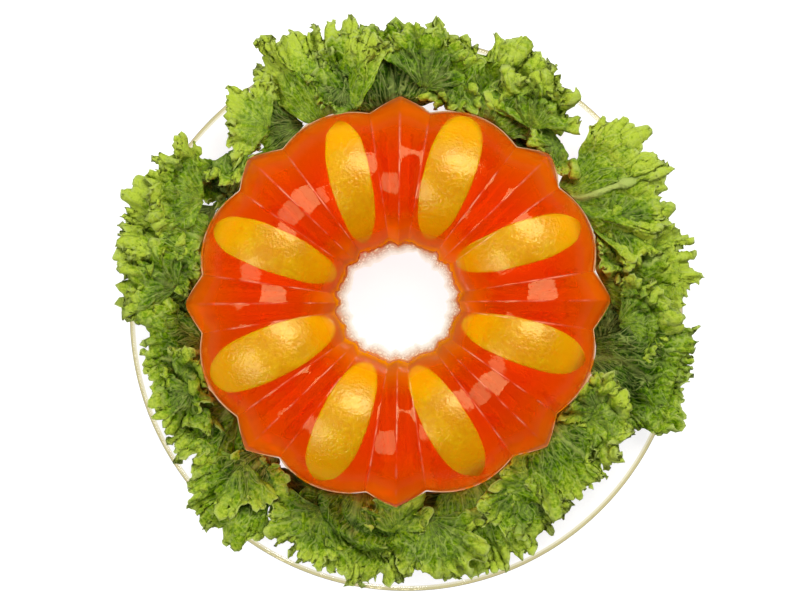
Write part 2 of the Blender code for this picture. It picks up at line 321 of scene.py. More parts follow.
jelly = {
    "pairs": 8, "lobeHalf": math.radians(13.7), "firstLobe": math.radians(22.5),
    "outerFoot": 100.5 * mm, "outerWall": (99.3 * mm, 19 * mm), "crown": (66 * mm, 56 * mm),
    "innerWall": (34 * mm, 20 * mm), "innerFoot": 32.5 * mm,
    "lobeHeights": (4.8 * mm, 2.8 * mm, 1.8 * mm), "ridgeHeights": (8.6 * mm, 3.2 * mm, 2.2 * mm),
    "edgeRound": 0.05, "notchRound": 0.22 * mm,  # softness of the ridges' edges and of the notches
    "sunk": 0.1 * mm, "skirt": 1.0 * mm, "skirtHeight": 0.5 * mm,  # thin wet edge on the glass
    "waver": 0.18 * mm, "waverLength": 17 * mm,  # unevenness of the surface
    "crumple": ((0.5, 12, 9 * mm), (0.35, 27, 5 * mm)),  # in the hole: mm, swings to a radian, length upwards
    "wallShare": 0.2, "topShare": 0.6, "steps": 29,  # share of the way over on each wall and on the crown
    "colour": "#FFFFFF", "absorb": "#FEE908", "density": 250, "ior": 1.38, "gloss": "#F4F0A4",
    # longer by this share one way, shorter the other
    "sag": 0.02, "sagAngle": math.radians(15), "sagFade": (110 * mm, 130 * mm),
    # places on the way over the ring, from outer foot to inner foot
    "shares": (0.18, 0.3, 0.37, 0.46, 0.6, 0.69, 0.8, 0.92, 1),
    "cloud": (0.5, 0.55, 0.42, 0.26, 0.28, 0.6, 0.8, 0.9, 0.9),  # how milky the ridges are there
    "lobeCloud": (0.5, 0.34, 0.3, 0.26, 0.26, 0.42, 0.75, 0.9, 0.9),  # and the lobes, clearer over the slices
    "thin": (0.45, 0.6, 0.35, 0, 0.1, 0.75, 1, 1, 1),  # how thin it looks there
    "cloudThrough": 0.6, "cloudThick": "#FF4800", "cloudThin": "#FFAE00", "cloudBehind": "#FFB400",
    "shade": "#FFF8EC",  # of light that crosses it straight
    # colours and half width of the pale lines along the ridges' edges and the notches, painted glints where
    # the rounded edges would catch the lamps
    "paleLineAndGlintColours": ("#FFD4AC", "#FFE6CC"), "paleLinesAndGlints": 0.29 * mm,
}
pairTurn = 2 * math.pi / jelly["pairs"]
ridgeHalf = pairTurn / 2 - jelly["lobeHalf"]
(wallR, wallZ), (crownR, crownZ), (innerR, innerZ) = jelly["outerWall"], jelly["crown"], jelly["innerWall"]


def ringProfile():  # radius, height, share of the way over, and slope of the way out, foot to foot
    up = [0, 0.12, 0.35, 0.7, 1.2, 2, 3.2, 5, 7.5, 10.5, 14, 16.5]  # mm, close together in the wet edge
    wallShare, topShare = jelly["wallShare"], jelly["topShare"]
    rows = [(jelly["outerFoot"] + (wallR - jelly["outerFoot"]) * z * mm / wallZ, z * mm,
             wallShare * z * mm / wallZ, 0) for z in up]
    for angle in np.linspace(0, math.pi / 2, jelly["steps"]):
        rows.append((crownR + (wallR - crownR) * math.cos(angle),
                     wallZ + (crownZ - wallZ) * math.sin(angle),
                     wallShare + topShare * angle / math.pi, angle))
    for angle in np.linspace(math.pi / 2, math.pi, jelly["steps"])[1:]:
        rows.append((crownR + (crownR - innerR) * math.cos(angle),
                     innerZ + (crownZ - innerZ) * math.sin(angle),
                     wallShare + topShare * angle / math.pi, angle))
    down = [17, 14, 10.5, 7.5, 5, 3.2, 2, 1.2, 0.7, 0.35, 0.12, 0]
    rows += [(jelly["innerFoot"] + (innerR - jelly["innerFoot"]) * z * mm / innerZ, z * mm,
              1 - wallShare * z * mm / innerZ, math.pi) for z in down]
    return np.array(rows)


def fluteHeight(angle, share):  # height above the notches: round lobes by turns with pointed ridges
    turned = (angle - jelly["firstLobe"] + jelly["lobeHalf"]) % pairTurn
    rounded = onLobe(angle)
    across = np.where(rounded, turned / jelly["lobeHalf"], (turned - 2 * jelly["lobeHalf"]) / ridgeHalf) - 1
    soft = jelly["edgeRound"]
    ridge = 1 - (np.sqrt(across ** 2 + soft ** 2) - soft) / (math.hypot(1, soft) - soft)
    form = np.where(rounded, 1 - across ** 2, ridge)
    lobes, ridges = [np.interp(share, (0, 0.5, 1), jelly[key]) for key in ("lobeHeights", "ridgeHeights")]
    height = form * np.where(rounded, lobes, ridges)
    return np.sqrt(height ** 2 + jelly["notchRound"] ** 2) - jelly["notchRound"]


def sagged(points):  # where points in or round the ring lie once it has sagged a little oval
    away = points[..., :2] - (ringX, ringY)
    near, far = jelly["sagFade"]
    share = jelly["sag"] * np.clip((far - np.linalg.norm(away, axis=-1)) / (far - near), 0, 1)
    along = np.array([math.cos(jelly["sagAngle"]), math.sin(jelly["sagAngle"])])
    across = np.array([-along[1], along[0]])
    moved = points.copy()
    stretch = (away @ along)[..., None] * along - (away @ across)[..., None] * across
    moved[..., :2] += share[..., None] * stretch
    return moved


def ringPoint(angle, radius, height, share, slope):
    out = fluteHeight(angle, share)
    flatX, flatY = [turn(angle) * radius / jelly["waverLength"] for turn in (np.cos, np.sin)]
    out = out + jelly["waver"] * smoothNoise(flatX, flatY, 3)
    crumpled = ease(share, 0.76, 0.86) * mm  # only down the wall of the hole
    out = out + crumpled * sum(size * smoothNoise(angle * swings, height / step, 4 + order)
                               for order, (size, swings, step) in enumerate(jelly["crumple"]))
    uneven = 1 + 0.5 * smoothNoise(angle * 14, share, 8)
    skirt = jelly["skirt"] * np.exp(-height / jelly["skirtHeight"]) * uneven
    radius = radius + (out + skirt) * np.cos(slope)
    return np.stack([ringX + radius * np.cos(angle), ringY + radius * np.sin(angle),
                     wellZ - jelly["sunk"] + height + out * np.sin(slope)], -1)


def ringAngles():  # closer together at the notches and along the ridges' edges
    angles = []
    lobe = -np.cos(np.linspace(0, math.pi, 25)[:-1]) * jelly["lobeHalf"]
    half = (1 - np.cos(np.linspace(0, math.pi, 13)[:-1])) / 2
    ridge = np.concatenate([half - 1, half]) * ridgeHalf
    for pair in range(jelly["pairs"]):
        middle = jelly["firstLobe"] + 2 * math.pi * pair / jelly["pairs"]
        angles += [middle + lobe, middle + pairTurn / 2 + ridge]
    return np.concatenate(angles)


def onLobe(angle):
    return (angle - jelly["firstLobe"] + jelly["lobeHalf"]) % pairTurn < 2 * jelly["lobeHalf"]


def creaseDistance(angle):  # round to the nearest notch or ridge's edge, in radians
    turned = (angle - jelly["firstLobe"]) % pairTurn
    spots = (jelly["lobeHalf"], pairTurn / 2, pairTurn - jelly["lobeHalf"])
    return np.min([np.abs(turned - spot) for spot in spots], 0)


def jellyTop(x, y):  # height of the ring's top surface over a point
    radius, angle = np.hypot(x - ringX, y - ringY), np.arctan2(y - ringY, x - ringX)
    outward = radius > crownR
    width, low = np.where(outward, wallR - crownR, crownR - innerR), np.where(outward, wallZ, innerZ)
    out = fluteHeight(angle, 0.5)
    for _ in range(3):
        across = np.clip((radius - crownR) / (width + out), -1, 1)
        out = fluteHeight(angle, jelly["wallShare"] + jelly["topShare"] * np.arccos(across) / math.pi)
    return wellZ - jelly["sunk"] + low + (crownZ - low + out) * np.sqrt(1 - across ** 2)


# clear set gelatin: wet, smooth, deep red where thick and orange where thin, a little cloudy, with painted
# glints along the ridges' edges
def makeJellyMaterial():
    material, tree = newMaterial("clear_set_gelatin")
    where = addNode(tree, "ShaderNodeTexCoord").outputs["Object"]
    ripple = addNode(tree, "ShaderNodeTexNoise", {"Vector": where}, Scale=1 / (9 * mm), Detail=3)
    grain = addNode(tree, "ShaderNodeTexNoise", {"Vector": where}, Scale=1 / (1.6 * mm), Detail=2)
    soft = addNode(tree, "ShaderNodeBump", {"Height": ripple}, Strength=0.12, Distance=0.4 * mm)
    fine = addNode(tree, "ShaderNodeBump", {"Height": grain, "Normal": soft}, Strength=0.12,
                   Distance=0.1 * mm)
    # bubbles at the surface are under half a millimetre across: drawn coarser, as pits, so that they show
    dots = addNode(tree, "ShaderNodeTexVoronoi", {"Vector": where}, Scale=1 / (1.9 * mm))
    dotted = addNode(tree, "ShaderNodeMapRange", {0: dots}, interpolation_type="SMOOTHSTEP", From_Max=0.5)
    pits = addNode(tree, "ShaderNodeMath", {0: dotted, 1: grain}, operation="ADD")
    dimpled = addNode(tree, "ShaderNodeAttribute", attribute_name="dimpled").outputs["Fac"]
    # less the mean, so that no step shows where the dimples begin
    pits = addNode(tree, "ShaderNodeMath", {0: pits, 1: 1.0}, operation="SUBTRACT")
    pits = addNode(tree, "ShaderNodeMath", {0: pits, 1: dimpled}, operation="MULTIPLY")
    bump = addNode(tree, "ShaderNodeBump", {"Height": pits, "Normal": fine}, Strength=0.6, Distance=0.22 * mm)
    clear = addNode(tree, "ShaderNodeBsdfPrincipled", {"Normal": bump}, Roughness=0.03, IOR=jelly["ior"],
                    Base_Color=linearColour(jelly["colour"]), Transmission_Weight=1,
                    Specular_Tint=linearColour(jelly["gloss"]))
    thin, milky, paleLinesAndGlints = [addNode(tree, "ShaderNodeAttribute", attribute_name=name).outputs["Fac"]
                           for name in ("thin", "milky", "paleLinesAndGlints")]
    mass = colourSteps(tree, thin, [(0, jelly["cloudThick"]), (1, jelly["cloudThin"])])
    # painted glints and pale lines: pale and milky where they run, broken up by the ripple
    broken = addNode(tree, "ShaderNodeMapRange", {0: ripple}, From_Min=0.38, From_Max=0.62)
    line = addNode(tree, "ShaderNodeMath", {0: paleLinesAndGlints, 1: broken}, operation="MULTIPLY", use_clamp=True)
    masses = (mass, linearColour(jelly["cloudBehind"]))
    near, far = [addNode(tree, "ShaderNodeMix", {0: line, 6: colour, 7: linearColour(pale)}, data_type="RGBA")
                 for colour, pale in zip(masses, jelly["paleLineAndGlintColours"])]
    front = addNode(tree, "ShaderNodeBsdfDiffuse", {"Normal": bump, "Color": near.outputs[2]})
    behind = addNode(tree, "ShaderNodeBsdfTranslucent", {"Color": far.outputs[2]})
    cloud = addNode(tree, "ShaderNodeMixShader", {0: jelly["cloudThrough"], 1: front, 2: behind})
    milky = addNode(tree, "ShaderNodeMath", {0: milky, 1: line}, operation="MAXIMUM", use_clamp=True)
    body = addNode(tree, "ShaderNodeMixShader", {0: milky, 1: clear, 2: cloud})
    surface = letLampsThrough(tree, body, jelly["shade"])
    depth = addNode(tree, "ShaderNodeVolumeAbsorption", Color=linearColour(jelly["absorb"]),
                    Density=jelly["density"])
    addNode(tree, "ShaderNodeOutputMaterial", {"Surface": surface, "Volume": depth})
    return material


def makeJelly():
    angles, rows = ringAngles(), ringProfile()
    columns = [np.broadcast_to(rows[:, i, None], (len(rows), len(angles))) for i in range(4)]
    points = sagged(ringPoint(np.broadcast_to(angles, columns[0].shape), *columns)).reshape(-1, 3)
    faces = gridFaces(len(rows), len(angles), wrapRows=True, wrapColumns=True)
    piece = makePiece("orange_jelly", points, faces, makeJellyMaterial(), ["jelly_ring"])
    over = columns[2]
    threads = (1 - np.abs(smoothNoise(angles * 13, columns[1] / (7 * mm), 6))) ** 16
    looks = {"milky": np.where(onLobe(angles), np.interp(over, jelly["shares"], jelly["lobeCloud"]),
                               np.interp(over, jelly["shares"], jelly["cloud"])),
             "thin": np.interp(over, jelly["shares"], jelly["thin"]),
             "dimpled": fluteHeight(columns[0] * 0 + angles, over) / (3 * mm) * onLobe(angles)
             * ease(over, 0.25, 0.35) * (1 - ease(over, 0.66, 0.76)),
             # painted glints along the ridges' edges and the notches, a pale line along the wet edge at the
             # foot, pale threads down the hole's wall
             "paleLinesAndGlints": np.exp(-(creaseDistance(angles) * columns[0] / jelly["paleLinesAndGlints"]) ** 2)
             * 1.1 * ease(over, 0.28, 0.4) * (1 - ease(over, 0.62, 0.75))
             + 4 * np.exp(-columns[1] / jelly["skirtHeight"]) * (over < 0.5)
             + 0.8 * threads * ease(over, 0.82, 0.95)}
    for label, values in looks.items():
        storeValues(piece, label, values)


film = {
    "count": 240, "overlap": 0.4 * mm, "width": 7.0 * mm,
    # the uneven edge's swings: mm high, swings to a radian
    "ragged": ((1.8, 3.2), (0.9, 9), (0.3, 24)),
    # share of the width, mm above the glass
    "profile": ((0, 1.5), (0.12, 1.0), (0.3, 0.65), (0.5, 0.4), (0.7, 0.22), (0.88, 0.08), (1, -0.03),
                (0.5, -0.05), (0, -0.05)),
    "tints": [(0, "#CE8450"), (0.2, "#D0A070"), (0.4, "#D6BE9A"), (0.65, "#DED2BC"), (0.85, "#EAE6D8"),
              (1, "#FFFFFF")],
    "milk": "#CC8258", "shade": "#FFFCF6", "ior": 1.1, "wrinkles": 26, "wrinkleSway": 22,
}


def makeFilmMaterial():  # gelatin this thin is nearly clear, faintly cream, with milky wrinkles by the wall
    material, tree = newMaterial("thin_gelatin_film")
    where = addNode(tree, "ShaderNodeTexCoord").outputs["Object"]
    lumps = addNode(tree, "ShaderNodeTexNoise", {"Vector": where}, Scale=1 / (1.8 * mm), Detail=3)
    bump = addNode(tree, "ShaderNodeBump", {"Height": lumps}, Strength=0.9, Distance=0.5 * mm)
    away = addNode(tree, "ShaderNodeAttribute", attribute_name="away").outputs["Fac"]
    wander = addNode(tree, "ShaderNodeVectorMath", {0: lumps.outputs["Color"]}, operation="SCALE",
                     Scale=2.5 * mm)
    wander = addNode(tree, "ShaderNodeVectorMath", {0: where, 1: wander}, operation="ADD")
    # real wrinkles are finer: drawn coarser so that they show
    folds = addNode(tree, "ShaderNodeTexVoronoi", {"Vector": wander}, feature="DISTANCE_TO_EDGE",
                    Scale=1 / (2.6 * mm))
    fold = addNode(tree, "ShaderNodeMapRange", {0: folds}, From_Max=0.3, To_Min=1, To_Max=0)
    rolls = addNode(tree, "ShaderNodeTexNoise", {"Vector": where}, Scale=1 / (4 * mm), Detail=2)
    sway = addNode(tree, "ShaderNodeMath", {0: rolls, 1: film["wrinkleSway"]}, operation="MULTIPLY")
    wave = addNode(tree, "ShaderNodeMath", {0: away, 1: film["wrinkles"], 2: sway}, operation="MULTIPLY_ADD")
    wave = addNode(tree, "ShaderNodeMath", {0: wave}, operation="SINE")  # wrinkles run round beside the wall
    wave = addNode(tree, "ShaderNodeMapRange", {0: wave}, From_Min=0.3, From_Max=0.95)
    fold = addNode(tree, "ShaderNodeMath", {0: fold, 1: wave}, operation="MAXIMUM", use_clamp=True)
    near = addNode(tree, "ShaderNodeMapRange", {0: away}, From_Max=0.8, To_Min=1, To_Max=0)
    fold = addNode(tree, "ShaderNodeMath", {0: fold, 1: near}, operation="MULTIPLY")
    tint = colourSteps(tree, away, film["tints"])
    glassy = addNode(tree, "ShaderNodeBsdfPrincipled", {"Normal": bump, "Base Color": tint}, Roughness=0.2,
                     IOR=film["ior"], Transmission_Weight=1)
    milk = addNode(tree, "ShaderNodeBsdfDiffuse", {"Normal": bump}, Color=linearColour(film["milk"]))
    body = addNode(tree, "ShaderNodeMixShader", {0: fold, 1: glassy, 2: milk})
    surface = letLampsThrough(tree, body, film["shade"], mirrored=True)
    addNode(tree, "ShaderNodeOutputMaterial", {"Surface": surface})
    return material


def makeFilm():  # a thin ragged film of jelly left on the glass inside the hole
    count, reach = film["count"], jelly["innerFoot"] + film["overlap"]
    angle = np.linspace(0, 2 * math.pi, count, endpoint=False)
    width = film["width"] + mm * sum(height * smoothNoise(angle * swings, 0 * angle, 41 + order)
                                     for order, (height, swings) in enumerate(film["ragged"]))
    shares, rows = [], []
    for share, height in film["profile"]:
        radius = reach - fluteHeight(angle, 1) * (1 - 0.7 * share) - width * share
        rows.append(np.stack([ringX + radius * np.cos(angle), ringY + radius * np.sin(angle),
                              np.full(count, wellZ + height * mm)], -1))
        shares += [share] * count
    faces = gridFaces(len(rows), count, wrapRows=True, wrapColumns=True)
    piece = makePiece("jelly_film", sagged(np.concatenate(rows)), faces, makeFilmMaterial(), ())
    storeValues(piece, "away", shares)


makeJelly()
makeFilm()
print("jelly ready")


# Peach slices

peach = {
    "cover": 0.8 * mm, "easing": 1.5 * mm,  # least jelly over the slices, and how gently they bend under it
    "raise": 2.5 * mm, "taper": 0.13, "roundings": 6, "tip": math.radians(84), "radius": 31.5 * mm,
    "stone": 13 * mm, "stoneShare": 0.58, "along": 64, "skin": 26, "side": 10, "blunt": 2.5,
    # the colour for the ends is painted light, a brighter yellow where the slices slope away from the lamps
    "flesh": [(0.2, "#BE9E00"), (0.5, "#C6AE02"), (0.8, "#D0C00A")], "speck": "#F4D850", "ends": "#EAC000",
    "ior": 1.7, "sheen": "#FFF8DC", "lightReach": 9 * mm,
    # mm long and wide, degrees from the lobe's middle and turned, mm from the ring's middle and under the top
    "slices": [(62, 24, 3.5, -5, 65.5, 1.3), (64, 27, 2.0, 6, 69.0, 1.2), (61, 22, -1.5, -10, 66.0, 1.0),
               (65, 24, -1.0, -1, 66.4, 0.6), (66, 29, -0.5, 2, 66.6, 0.8), (63, 27, -1.0, 0, 66.0, 0.6),
               (62, 24, -1.0, 8, 65.0, 1.0), (62, 25, 4.0, 3, 65.0, 1.4)],
}


# soft tinned peach flesh: satin, golden yellow, with faint fibres and dimples, brighter at its ends as
# painted light, since they slope away from the lamps
def makePeachMaterial():
    material, tree = newMaterial("tinned_peach_flesh")
    where = addNode(tree, "ShaderNodeTexCoord").outputs["Object"]
    blush = addNode(tree, "ShaderNodeTexNoise", {"Vector": where}, Scale=1 / (14 * mm), Detail=3)
    # real fibres are about half a millimetre apart: drawn coarser so that they show
    fibre = addNode(tree, "ShaderNodeTexNoise", {"Vector": where}, Scale=1 / (1.8 * mm), Detail=4)
    mottled = addNode(tree, "ShaderNodeMath", {0: blush, 1: fibre}, operation="ADD")
    halved = addNode(tree, "ShaderNodeMapRange", {0: mottled}, From_Min=0.6, From_Max=1.4)
    colour = colourSteps(tree, halved, peach["flesh"])
    dimple = addNode(tree, "ShaderNodeTexVoronoi", {"Vector": where}, Scale=1 / (2.6 * mm))
    pitted = addNode(tree, "ShaderNodeMapRange", {0: dimple}, From_Max=0.4)
    pits = addNode(tree, "ShaderNodeBump", {"Height": pitted}, Strength=0.3, Distance=0.3 * mm)
    bump = addNode(tree, "ShaderNodeBump", {"Height": fibre, "Normal": pits}, Strength=0.6, Distance=0.9 * mm)
    seed = addNode(tree, "ShaderNodeTexVoronoi", {"Vector": where}, Scale=1 / (2.1 * mm))
    speck = addNode(tree, "ShaderNodeMapRange", {0: seed}, interpolation_type="SMOOTHSTEP",
                    From_Max=0.3, To_Min=0.85, To_Max=0)
    patchy = addNode(tree, "ShaderNodeMapRange", {0: blush}, From_Min=0.4, From_Max=0.55)
    speck = addNode(tree, "ShaderNodeMath", {0: speck, 1: patchy}, operation="MULTIPLY", use_clamp=True)
    pale = addNode(tree, "ShaderNodeMix", {0: speck, 6: colour, 7: linearColour(peach["speck"])},
                   data_type="RGBA")
    # painted light: each slice's colour goes to a brighter yellow towards its ends
    ends = addNode(tree, "ShaderNodeAttribute", attribute_name="ends").outputs["Fac"]
    withLitEnds = {0: ends, 6: pale.outputs[2], 7: linearColour(peach["ends"])}
    withLitEnds = addNode(tree, "ShaderNodeMix", withLitEnds, data_type="RGBA")
    flesh = addNode(tree, "ShaderNodeBsdfPrincipled", {"Base Color": withLitEnds.outputs[2], "Normal": bump},
                    Roughness=0.15, IOR=peach["ior"], Specular_Tint=linearColour(peach["sheen"]),
                    Subsurface_Weight=0.85, Subsurface_Scale=peach["lightReach"])
    addNode(tree, "ShaderNodeOutputMaterial", {"Surface": flesh})
    return material


def sliceSection(along, halfWedge):  # skin's arc, then the cut sides and the stone's hollow, as a closed loop
    skin = peach["radius"] * (1 - abs(along) ** peach["blunt"]) ** (1 / peach["blunt"])
    stone = peach["stone"] * math.sqrt(1 - min(abs(along) / peach["stoneShare"], 1) ** 2)
    low = max(stone, 0.25 * skin)
    points = [(skin * math.sin(a), skin * math.cos(a))
              for a in np.linspace(-halfWedge, halfWedge, peach["skin"])]
    right = [(r * math.sin(halfWedge), r * math.cos(halfWedge))
             for r in np.linspace(skin, low / math.cos(halfWedge), peach["side"])]
    bottom = [(x, low) for x in np.linspace(low * math.tan(halfWedge), -low * math.tan(halfWedge), 8)]
    return np.array(points + right[1:] + bottom[1:-1] + [(-x, z) for x, z in right[:0:-1]])


def smoothLoops(rings, times):  # rounds the slice's edges
    for _ in range(times):
        rings = (np.roll(rings, 1, 1) + 2 * rings + np.roll(rings, -1, 1)) / 4
        rings[1:-1] = (rings[:-2] + 2 * rings[1:-1] + rings[2:]) / 4
    return rings


def makePeaches():
    material = makePeachMaterial()
    for index, (length, width, roundBy, turn, radius, depth) in enumerate(peach["slices"]):
        halfWedge = math.asin(width * mm / 2 / peach["radius"])
        rings = []
        for along in np.sin(np.linspace(-1, 1, peach["along"]) * peach["tip"]):
            section = sliceSection(along, halfWedge)
            rings.append(np.column_stack([np.full(len(section), along * length * mm / 2), section]))
        rings = smoothLoops(np.array(rings), peach["roundings"])
        toEnd = rings[..., 0] / (length * mm / 2)
        # painted light: how far each point is brightened, more towards the slice's ends
        ends = ease(np.abs(toEnd), 0.3, 0.95)
        rings[..., 1] *= 1 + peach["taper"] * toEnd
        count = rings.shape[1]
        x, y = rings[..., 0], rings[..., 1]
        rings[..., 2] += 0.2 * mm * smoothNoise(x / (9 * mm) + index * 7, y / (6 * mm), 11)
        rings[..., 1] += 0.4 * mm * smoothNoise(x / (11 * mm) + index * 3, rings[..., 2] / (8 * mm), 12)
        lobe = jelly["firstLobe"] + 2 * math.pi * index / jelly["pairs"]
        angle = lobe + math.radians(roundBy)
        top = wellZ + seat + crownZ + jelly["lobeHeights"][1]
        up = top - depth * mm - peach["radius"] + peach["raise"]
        place = Matrix.Translation((ringX + radius * mm * math.cos(angle),
                                    ringY + radius * mm * math.sin(angle), up))
        place = np.array(place @ Matrix.Rotation(lobe + math.radians(turn), 4, "Z"))
        points = rings.reshape(-1, 3) @ place[:3, :3].T + place[:3, 3]
        roof = jellyTop(points[:, 0], points[:, 1]) - peach["cover"] - depth * 0.3 * mm
        points[:, 2] -= peach["easing"] * np.logaddexp(0, (points[:, 2] - roof) / peach["easing"])
        points = sagged(points)
        faces = [tuple(f) for f in gridFaces(len(rings), count, wrapColumns=True)]
        faces += [tuple(range(count))[::-1], tuple(range((len(rings) - 1) * count, len(rings) * count))]
        piece = makePiece(f"peach_{index + 1}", points, [f[::-1] for f in faces], material,
                          [f"peach_slice_{index + 1}"])
        storeValues(piece, "ends", ends)


makePeaches()
print("peaches ready")


# Lettuce: curly leaves round the foot of the ring

lettuce = {
    "thickness": 0.4 * mm, "veinCell": 6.5 * mm, "veinFan": 5.5, "pucker": 1.0 * mm, "ribHeight": 0.9 * mm,
    # how pale the main veins and the net are, light that passes through
    "veinPale": (0.5, 0.24), "through": 0.24,
    "blade": [(0, "#163400"), (0.3, "#446A00"), (0.6, "#789C08"), (1, "#BCD040")], "veins": "#C0D070",
    "ior": 1.4, "sheen": "#F2FFB4",
    # a leaf's arch as a share of its length, height and length of its slow swells, sway of its cells
    "arch": 0.1, "swell": (2.5 * mm, 24), "sway": (1.5, 5),
    "overGlass": 0.9 * mm, "offRing": 1.0 * mm, "rimLift": 12 * mm, "rimReach": 156 * mm,
    # spacing and depth in mm of the clefts, teeth and small teeth along the outer edge
    "clefts": (27, 8), "teeth": (9.5, 7), "smallTeeth": (3.8, 2.2),
    # big leaves, whose stalk ends reach the ring's foot: degrees round, mm from the ring's middle,
    # degrees turned, length in mm, half spread in degrees, lift in mm, tilt in degrees, ruffle, rib, tone
    # ruffles: wave length and height in mm of each set, and how far out along the leaf they start
    "big": {"rows": 34, "columns": 200, "start": 0.22,
            "ruffles": [(50, 5.2, 0.1), (25, 2.8, 0.4), (12, 1.0, 0.6), (6, 0.35, 0.75)], "leaves": [
        (8, 86, 6, 64, 50, 4, 5, 0.8, 0.4, 0.65), (34, 84, -20, 66, 42, 8, 6, 0.8, 0.9, 0.7),
        (66, 86, 0, 60, 55, 5, 10, 1.1, 0.2, 0.6), (93, 87, -2, 54, 50, 3, 14, 1.1, 0.2, 0.25),
        (110, 86, -6, 63, 42, 6, 8, 0.9, 0.3, 0.75), (161, 86, 0, 59, 32, 7, 8, 1.0, 0.3, 0.7),
        (170, 86, -4, 58, 46, 4, 8, 1.1, 0.5, 0.6), (192, 86, 4, 46, 48, 6, 6, 0.9, 0.6, 0.4),
        (214, 86, 1, 51, 46, 4, 10, 1.0, 0.3, 0.55), (231, 84, -4, 65, 26, 8, 5, 0.7, 0.3, 0.4),
        (260, 86, -4, 58, 53, 4, 9, 1.1, 0.2, 0.5), (292, 86, 1, 60, 53, 6, 8, 1.1, 0.2, 0.6),
        (318, 86, 6, 53, 50, 5, 12, 1.0, 0.3, 0.5), (344, 87, 1, 68, 35, 7, 3, 0.7, 0.2, 0.3),
    ]},
    # smaller leaves tucked in above them, some facing in towards the ring
    "small": {"rows": 22, "columns": 112, "start": 0.05,
              "ruffles": [(34, 3.6, 0.1), (17, 2.8, 0.35), (8.5, 1.2, 0.55), (4.4, 0.4, 0.7)], "leaves": [
        (126, 112, 30, 23, 78, 14, 14, 1.0, 0.1, 0.8), (104, 116, 150, 18, 80, 13, 22, 1.0, 0.1, 0.3),
        (84, 112, -20, 30, 78, 13, 16, 1.1, 0.1, 0.45), (76, 118, 200, 18, 80, 12, 20, 1.0, 0.1, 0.5),
        (53, 112, 24, 28, 78, 14, 14, 1.1, 0.1, 0.7), (45, 118, 165, 19, 80, 12, 22, 1.0, 0.1, 0.6),
        (22, 113, -20, 30, 74, 13, 10, 1.0, 0.1, 0.55), (14, 119, 190, 18, 80, 11, 20, 1.0, 0.1, 0.6),
        (-6, 112, 20, 28, 74, 12, 10, 0.9, 0.1, 0.6), (-29, 118, 170, 18, 80, 12, 20, 1.0, 0.1, 0.6),
        (-33, 113, 28, 24, 78, 13, 12, 1.1, 0.1, 0.7), (-54, 118, 195, 19, 80, 12, 22, 1.0, 0.1, 0.65),
        (-56, 112, -20, 27, 78, 13, 12, 1.1, 0.1, 0.5), (-82, 113, 14, 30, 78, 13, 12, 1.1, 0.1, 0.6),
        (-90, 119, 180, 21, 80, 13, 24, 1.0, 0.1, 0.7), (-109, 113, -22, 27, 78, 13, 12, 1.1, 0.1, 0.55),
        (-134, 112, 10, 26, 78, 13, 12, 1.1, 0.1, 0.6), (-128, 118, 190, 17, 80, 12, 22, 1.0, 0.1, 0.5),
        (-157, 112, 24, 23, 76, 12, 12, 1.0, 0.1, 0.5), (-160, 119, 175, 18, 80, 12, 22, 1.0, 0.1, 0.6),
        (176, 112, -22, 27, 76, 13, 12, 1.0, 0.2, 0.55), (170, 119, 190, 18, 80, 12, 22, 1.0, 0.1, 0.5),
        (151, 112, 22, 30, 78, 14, 16, 1.2, 0.1, 0.7), (138, 118, 170, 18, 80, 12, 22, 1.0, 0.1, 0.6),
        # and low ones that close the gaps by the ring's foot
    ] + [(placed, radius, turned, length, 62, 3, 6, 0.8, 0.1, tone)
         for placed, radius, turned, length, tone in (
        (94, 107, 84, 20, 0.2), (139, 106, 84, 22, 0.2), (-118, 106, 88, 26, 0.2), (-15, 106, 84, 22, 0.2),
        (47, 107, 82, 22, 0.2), (117, 106, 84, 26, 0.25), (174, 107, 82, 22, 0.2), (-10, 107, 84, 22, 0.25),
        (-86, 107, 84, 22, 0.2), (24, 107, 82, 22, 0.3), (151, 107, 84, 22, 0.2), (-151, 107, 84, 22, 0.3),
        (-66, 107, 84, 22, 0.2), (-40, 107, 82, 22, 0.25), (-125, 106, 80, 24, 0.2),
    )]},
}
